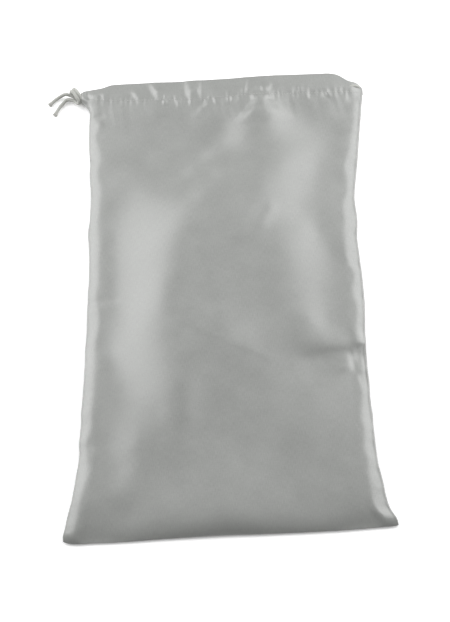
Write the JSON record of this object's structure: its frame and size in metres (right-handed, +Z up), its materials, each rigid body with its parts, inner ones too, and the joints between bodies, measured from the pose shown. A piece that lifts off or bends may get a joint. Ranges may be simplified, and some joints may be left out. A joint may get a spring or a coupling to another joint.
{
  "type": "drawstring shoe bag",
  "caption": "Flat satin drawstring bag for ballet slippers: two seamed panels, a turned casing at the mouth and one knotted cord leaving it at the left.",
  "frame": {"origin": "under the middle of the bag, on the surface that it lies on", "axes": "+Y along the bag towards the mouth, +X across the bag away from the knot, +Z up off the surface"},
  "size_m": [0.2761, 0.401, 0.018],
  "materials": {
    "satin": "satin weave, bright pale grey, soft wide sheen",
    "satin_wrong_side": "dull wrong side of the satin",
    "sewing_thread": "spun polyester thread",
    "cord": "braided polyester cord, low sheen",
    "melted_cord": "heat-sealed cord end"
  },
  "bodies": {
    "pouch": {"front_panel": "satin", "back_panel": "satin", "front_casing": "satin", "back_casing": "satin", "left_seam_allowance": "satin_wrong_side", "right_seam_allowance": "satin_wrong_side", "bottom_seam_allowance": "satin_wrong_side", "left_overlock_thread": "sewing_thread", "right_overlock_thread": "sewing_thread", "bottom_overlock_thread": "sewing_thread", "front_casing_stitch": "sewing_thread", "back_casing_stitch": "sewing_thread", "left_slit_bartack": "sewing_thread"},
    "drawstring": {"drawstring": "cord", "drawstring_knot": "cord", "drawstring_tail_upper": "cord", "drawstring_tail_lower": "cord", "cord_tip_upper": "melted_cord", "cord_tip_lower": "melted_cord"}
  },
  "joints": [
    {"name": "drawstring_pull", "type": "slide", "parent": "pouch", "child": "drawstring", "axis": [-0.9997, 0.0239, 0], "range_m": [0, 0.14], "deforming": ["front_panel", "back_panel", "front_casing", "back_casing", "front_casing_stitch", "back_casing_stitch", "right_seam_allowance", "right_overlock_thread"]}
  ]
}
